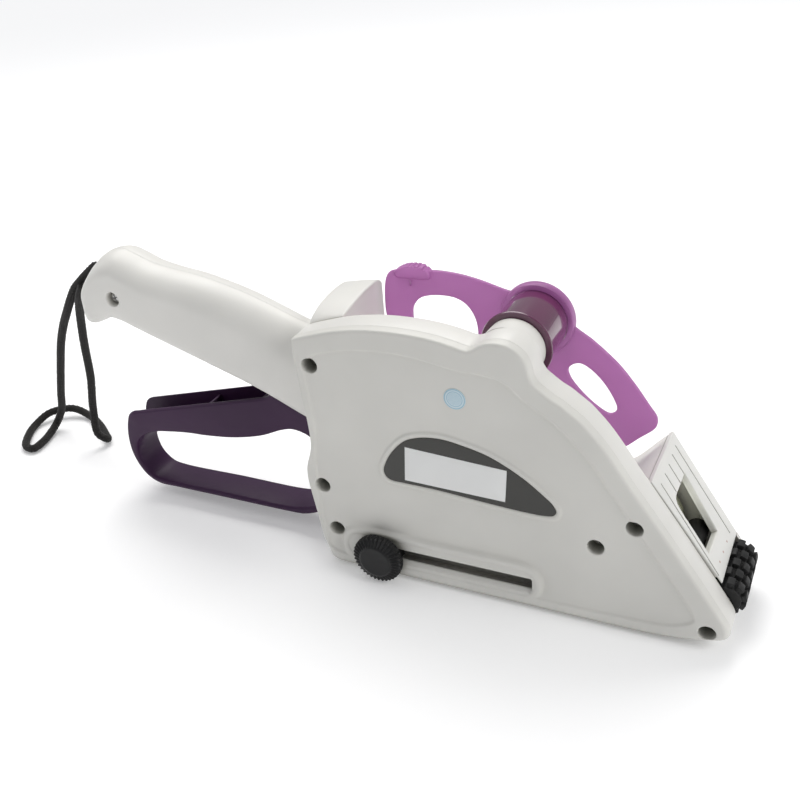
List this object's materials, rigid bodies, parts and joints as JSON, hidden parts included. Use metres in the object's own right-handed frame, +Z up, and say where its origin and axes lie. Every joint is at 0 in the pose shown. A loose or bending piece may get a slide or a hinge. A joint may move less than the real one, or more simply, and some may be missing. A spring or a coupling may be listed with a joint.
{
  "type": "label applicator",
  "caption": "Hand-held label applicator: squeezing the lever feeds labels off a roll hub, peels them at the nose and presses them on with a toothed roller.",
  "frame": {"origin": "on the flat underside, 100 mm forward of the body's rear wall and 30 mm in from the side cover's face", "axes": "+X forward to the nose, +Y from the side cover towards the roll guide, +Z up from the underside"},
  "size_m": [0.4387, 0.087, 0.1426],
  "materials": {
    "cover_plastic": "satin moulded, warm white",
    "shell_plastic": "satin moulded, warm white",
    "window_plastic": "satin moulded, warm white",
    "badge_dark": "smooth dark inlay",
    "label_white": "blank white film",
    "sticker_blue": "pale blue film",
    "trigger_plastic": "satin dark purple-grey",
    "hub_plastic": "glossy dark plum",
    "guide_plastic": "translucent lilac",
    "knob_plastic": "satin black",
    "black_plastic": "satin black",
    "nylon": "natural nylon",
    "guide_olive": "satin olive",
    "roller_rubber": "ground rubber",
    "ring_rubber": "moulded rubber",
    "cord_braid": "braided cord",
    "spring_steel": "wire",
    "bright_steel": "smooth sheet",
    "screw_steel": "plated",
    "shaft_steel": "ground"
  },
  "bodies": {
    "housing": {"side_cover": "cover_plastic", "badge_plate": "badge_dark", "badge_label": "label_white", "round_sticker": "sticker_blue", "body_shell_left": "shell_plastic", "body_shell_right": "shell_plastic", "cover_screw_top_rear": "screw_steel", "cover_screw_mid_rear": "screw_steel", "cover_screw_bottom_rear": "screw_steel", "cover_screw_front_upper": "screw_steel", "cover_screw_front_lower": "screw_steel", "cover_screw_nose": "screw_steel", "handle_screw": "screw_steel", "peel_plate": "bright_steel", "label_guide_near": "guide_olive", "label_guide_far": "guide_olive", "guide_rod": "shaft_steel", "sensor_axle": "shaft_steel", "press_axle": "shaft_steel", "pinch_axle": "shaft_steel", "gear_shaft": "shaft_steel", "trigger_shaft": "shaft_steel", "trigger_spring": "spring_steel", "hub_shaft": "shaft_steel", "hub_end_screw": "screw_steel"},
    "front_cover_body": {"front_cover": "window_plastic"},
    "trigger": {"trigger_lever": "trigger_plastic", "drive_pin": "shaft_steel"},
    "rack": {"drive_rack": "nylon"},
    "gear": {"drive_gear": "nylon"},
    "feed": {"feed_gear": "nylon", "feed_shaft": "shaft_steel", "one_way_clutch": "bright_steel", "feed_roller": "roller_rubber"},
    "pinch": {"pinch_roller": "roller_rubber"},
    "sensor": {"sensor_roller": "black_plastic"},
    "press": {"press_ring_1": "ring_rubber", "press_ring_2": "ring_rubber", "press_ring_3": "ring_rubber", "press_ring_4": "ring_rubber", "press_ring_5": "ring_rubber"},
    "hub": {"roll_hub": "hub_plastic"},
    "guide": {"roll_guide": "guide_plastic"},
    "stop": {"length_stop": "black_plastic"},
    "knob": {"length_knob": "knob_plastic", "knob_stud": "shaft_steel"},
    "cord": {"wrist_cord": "cord_braid"}
  },
  "joints": [
    {"name": "trigger_pull", "type": "hinge", "parent": "housing", "child": "trigger", "pos_m": [-0.0845, 0, 0.084], "axis": [0, 1, 0], "range_deg": [0, 17], "stiffness_Nm_per_rad": 0.6, "springref_deg": -5.73},
    {"name": "rack_slide", "type": "slide", "parent": "housing", "child": "rack", "axis": [-1, 0, 0], "range_m": [0, 0.0152]},
    {"name": "drive_gear_spin", "type": "hinge", "parent": "housing", "child": "gear", "pos_m": [-0.001, -0.018, 0.03583], "axis": [0, 1, 0], "range_deg": [0, 116]},
    {"name": "feed_spin", "type": "hinge", "parent": "housing", "child": "feed", "pos_m": [0.033, 0, 0.024], "axis": [0, 1, 0], "range_deg": [-232, 0]},
    {"name": "pinch_spin", "type": "hinge", "parent": "housing", "child": "pinch", "pos_m": [0.033, 0, 0.0097], "axis": [0, 1, 0], "range_deg": [0, 416]},
    {"name": "sensor_spin", "type": "hinge", "parent": "housing", "child": "sensor", "pos_m": [0.074, 0.006, 0.029], "axis": [0, 1, 0], "continuous": true},
    {"name": "press_roller_spin", "type": "hinge", "parent": "housing", "child": "press", "pos_m": [0.0922, 0.004, 0.0156], "axis": [0, 1, 0], "continuous": true},
    {"name": "hub_spin", "type": "hinge", "parent": "housing", "child": "hub", "pos_m": [-0.004, 0.01, 0.1194], "axis": [0, 1, 0], "continuous": true},
    {"name": "guide_slide", "type": "slide", "parent": "housing", "child": "guide", "axis": [0, -1, 0], "range_m": [0, 0.02]},
    {"name": "stop_slide", "type": "slide", "parent": "housing", "child": "stop", "axis": [1, 0, 0], "range_m": [0, 0.066]},
    {"name": "knob_turn", "type": "hinge", "parent": "stop", "child": "knob", "pos_m": [-0.064, -0.03, 0.0135], "axis": [0, 1, 0], "continuous": true},
    {"name": "cover_open", "type": "hinge", "parent": "housing", "child": "front_cover_body", "pos_m": [0.0579, 0.008, 0.0691], "axis": [0, -1, 0], "range_deg": [0, 70]},
    {"name": "cord_swing", "type": "hinge", "parent": "housing", "child": "cord", "pos_m": [-0.231, 0, 0.131], "axis": [0, 1, 0], "range_deg": [-4, 22]}
  ],
  "couplings": [
    {"joint": "rack_slide", "follows": "trigger_pull", "m_per_rad": 0.050813},
    {"joint": "drive_gear_spin", "follows": "trigger_pull", "ratio": 6.7751},
    {"joint": "feed_spin", "follows": "trigger_pull", "ratio": -13.55},
    {"joint": "pinch_spin", "follows": "trigger_pull", "ratio": 24.39}
  ]
}
